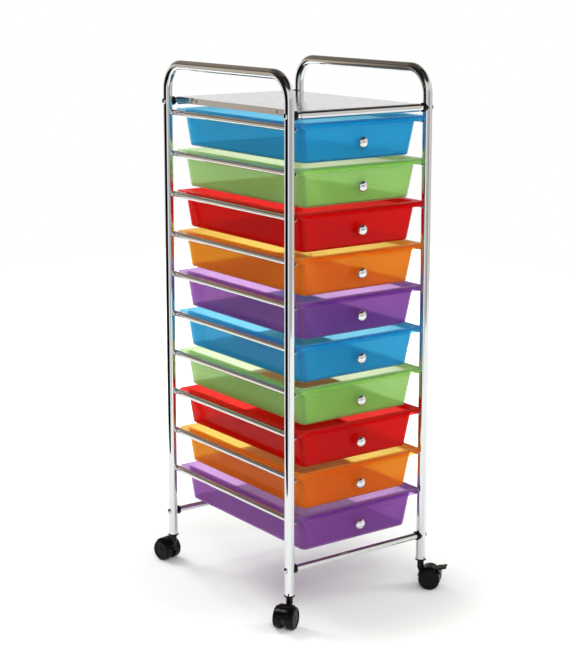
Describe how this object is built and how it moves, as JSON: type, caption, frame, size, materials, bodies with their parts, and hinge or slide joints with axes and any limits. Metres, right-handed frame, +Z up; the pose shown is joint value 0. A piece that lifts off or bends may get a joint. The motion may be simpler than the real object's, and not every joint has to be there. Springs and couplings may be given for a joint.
{
  "type": "plastic drawer tower",
  "caption": "Rolling tower of coloured plastic drawers that slide on the tube rails of a chromed frame with end handles, a top tray and swivel casters.",
  "frame": {"origin": "on the floor, under the centre of the standing cart", "axes": "+Z up, drawer fronts face -Y and pull out along -Y, +X to the right seen from the front"},
  "size_m": [0.3866, 0.466, 0.965],
  "materials": {
    "frame_chrome": "bright chrome plate",
    "black_fitting": "black moulded plastic",
    "zinc_steel": "zinc-plated steel",
    "bolt_chrome": "bright plated steel",
    "tray_sheet": "chrome-plated sheet steel, slightly satin",
    "brace_sheet": "chrome-plated sheet steel, slightly satin",
    "knob_chrome": "polished chrome",
    "caster_nylon": "black moulded nylon",
    "caster_wheel": "black moulded nylon, slightly glossy on the outer face",
    "drawer_blue": "slightly translucent blue plastic, glossy",
    "drawer_green": "slightly translucent green plastic, glossy",
    "drawer_red": "slightly translucent red plastic, glossy",
    "drawer_orange": "slightly translucent orange plastic, glossy",
    "drawer_purple": "slightly translucent purple plastic, glossy"
  },
  "bodies": {
    "frame": {"hoop_left": "frame_chrome", "hoop_right": "frame_chrome", "rails_left": "frame_chrome", "rails_right": "frame_chrome", "crossbar_top_front": "frame_chrome", "crossbar_top_rear": "frame_chrome", "crossbar_bottom_front": "frame_chrome", "crossbar_bottom_rear": "frame_chrome", "crossbar_saddles": "black_fitting", "crossbar_plugs": "zinc_steel", "frame_bolts": "bolt_chrome", "top_tray": "tray_sheet", "tray_braces": "brace_sheet", "tray_rivets": "bolt_chrome", "caster_sockets": "black_fitting"},
    "drawer_body_1": {"drawer_1": "drawer_blue", "knob_1": "knob_chrome"},
    "drawer_body_2": {"drawer_2": "drawer_green", "knob_2": "knob_chrome"},
    "drawer_body_3": {"drawer_3": "drawer_red", "knob_3": "knob_chrome"},
    "drawer_body_4": {"drawer_4": "drawer_orange", "knob_4": "knob_chrome"},
    "drawer_body_5": {"drawer_5": "drawer_purple", "knob_5": "knob_chrome"},
    "drawer_body_6": {"drawer_6": "drawer_blue", "knob_6": "knob_chrome"},
    "drawer_body_7": {"drawer_7": "drawer_green", "knob_7": "knob_chrome"},
    "drawer_body_8": {"drawer_8": "drawer_red", "knob_8": "knob_chrome"},
    "drawer_body_9": {"drawer_9": "drawer_orange", "knob_9": "knob_chrome"},
    "drawer_body_10": {"drawer_10": "drawer_purple", "knob_10": "knob_chrome"},
    "caster_front_left": {"caster_stem_fl": "zinc_steel", "caster_hood_fl": "caster_nylon", "caster_axle_fl": "zinc_steel"},
    "wheel_a_front_left": {"wheel_a_fl": "caster_wheel"},
    "wheel_b_front_left": {"wheel_b_fl": "caster_wheel"},
    "brake_front_left": {"brake_lever_fl": "caster_nylon"},
    "caster_front_right": {"caster_stem_fr": "zinc_steel", "caster_hood_fr": "caster_nylon", "caster_axle_fr": "zinc_steel"},
    "wheel_a_front_right": {"wheel_a_fr": "caster_wheel"},
    "wheel_b_front_right": {"wheel_b_fr": "caster_wheel"},
    "brake_front_right": {"brake_lever_fr": "caster_nylon"},
    "caster_rear_left": {"caster_stem_rl": "zinc_steel", "caster_hood_rl": "caster_nylon", "caster_axle_rl": "zinc_steel"},
    "wheel_a_rear_left": {"wheel_a_rl": "caster_wheel"},
    "wheel_b_rear_left": {"wheel_b_rl": "caster_wheel"},
    "caster_rear_right": {"caster_stem_rr": "zinc_steel", "caster_hood_rr": "caster_nylon", "caster_axle_rr": "zinc_steel"},
    "wheel_a_rear_right": {"wheel_a_rr": "caster_wheel"},
    "wheel_b_rear_right": {"wheel_b_rr": "caster_wheel"}
  },
  "joints": [
    {"name": "drawer_1_slide", "type": "slide", "parent": "frame", "child": "drawer_body_1", "axis": [0, -1, 0], "range_m": [0, 0.28]},
    {"name": "drawer_2_slide", "type": "slide", "parent": "frame", "child": "drawer_body_2", "axis": [0, -1, 0], "range_m": [0, 0.28]},
    {"name": "drawer_3_slide", "type": "slide", "parent": "frame", "child": "drawer_body_3", "axis": [0, -1, 0], "range_m": [0, 0.28]},
    {"name": "drawer_4_slide", "type": "slide", "parent": "frame", "child": "drawer_body_4", "axis": [0, -1, 0], "range_m": [0, 0.28]},
    {"name": "drawer_5_slide", "type": "slide", "parent": "frame", "child": "drawer_body_5", "axis": [0, -1, 0], "range_m": [0, 0.28]},
    {"name": "drawer_6_slide", "type": "slide", "parent": "frame", "child": "drawer_body_6", "axis": [0, -1, 0], "range_m": [0, 0.28]},
    {"name": "drawer_7_slide", "type": "slide", "parent": "frame", "child": "drawer_body_7", "axis": [0, -1, 0], "range_m": [0, 0.28]},
    {"name": "drawer_8_slide", "type": "slide", "parent": "frame", "child": "drawer_body_8", "axis": [0, -1, 0], "range_m": [0, 0.28]},
    {"name": "drawer_9_slide", "type": "slide", "parent": "frame", "child": "drawer_body_9", "axis": [0, -1, 0], "range_m": [0, 0.28]},
    {"name": "drawer_10_slide", "type": "slide", "parent": "frame", "child": "drawer_body_10", "axis": [0, -1, 0], "range_m": [0, 0.28]},
    {"name": "front_left_caster_swivel", "type": "hinge", "parent": "frame", "child": "caster_front_left", "pos_m": [-0.15, -0.1905, 0.0505], "axis": [0, 0, 1], "continuous": true},
    {"name": "front_left_wheel_a_spin", "type": "hinge", "parent": "caster_front_left", "child": "wheel_a_front_left", "pos_m": [-0.15835, -0.21031, 0.02], "axis": [0.5592, -0.829, 0], "continuous": true},
    {"name": "front_left_wheel_b_spin", "type": "hinge", "parent": "caster_front_left", "child": "wheel_b_front_left", "pos_m": [-0.17149, -0.19082, 0.02], "axis": [0.5592, -0.829, 0], "continuous": true},
    {"name": "front_left_brake_lever", "type": "hinge", "parent": "caster_front_left", "child": "brake_front_left", "pos_m": [-0.1743, -0.20689, 0.03131], "axis": [0.5592, -0.829, 0], "range_deg": [0, 8.5]},
    {"name": "front_right_caster_swivel", "type": "hinge", "parent": "frame", "child": "caster_front_right", "pos_m": [0.15, -0.1905, 0.0505], "axis": [0, 0, 1], "continuous": true},
    {"name": "front_right_wheel_a_spin", "type": "hinge", "parent": "caster_front_right", "child": "wheel_a_front_right", "pos_m": [0.17068, -0.19638, 0.02], "axis": [0.7547, 0.6561, 0], "continuous": true},
    {"name": "front_right_wheel_b_spin", "type": "hinge", "parent": "caster_front_right", "child": "wheel_b_front_right", "pos_m": [0.15294, -0.21179, 0.02], "axis": [0.7547, 0.6561, 0], "continuous": true},
    {"name": "front_right_brake_lever", "type": "hinge", "parent": "caster_front_right", "child": "brake_front_right", "pos_m": [0.16923, -0.21262, 0.03131], "axis": [0.7547, 0.6561, 0], "range_deg": [0, 8.5]},
    {"name": "rear_left_caster_swivel", "type": "hinge", "parent": "frame", "child": "caster_rear_left", "pos_m": [-0.15, 0.1905, 0.0505], "axis": [0, 0, 1], "continuous": true},
    {"name": "rear_left_wheel_a_spin", "type": "hinge", "parent": "caster_rear_left", "child": "wheel_a_rear_left", "pos_m": [-0.16524, 0.20566, 0.02], "axis": [-0.9781, -0.2079, 0], "continuous": true},
    {"name": "rear_left_wheel_b_spin", "type": "hinge", "parent": "caster_rear_left", "child": "wheel_b_rear_left", "pos_m": [-0.14225, 0.21055, 0.02], "axis": [-0.9781, -0.2079, 0], "continuous": true},
    {"name": "rear_right_caster_swivel", "type": "hinge", "parent": "frame", "child": "caster_rear_right", "pos_m": [0.15, 0.1905, 0.0505], "axis": [0, 0, 1], "continuous": true},
    {"name": "rear_right_wheel_a_spin", "type": "hinge", "parent": "caster_rear_right", "child": "wheel_a_rear_right", "pos_m": [0.14882, 0.21196, 0.02], "axis": [-0.866, 0.5, 0], "continuous": true},
    {"name": "rear_right_wheel_b_spin", "type": "hinge", "parent": "caster_rear_right", "child": "wheel_b_rear_right", "pos_m": [0.16918, 0.20021, 0.02], "axis": [-0.866, 0.5, 0], "continuous": true}
  ]
}
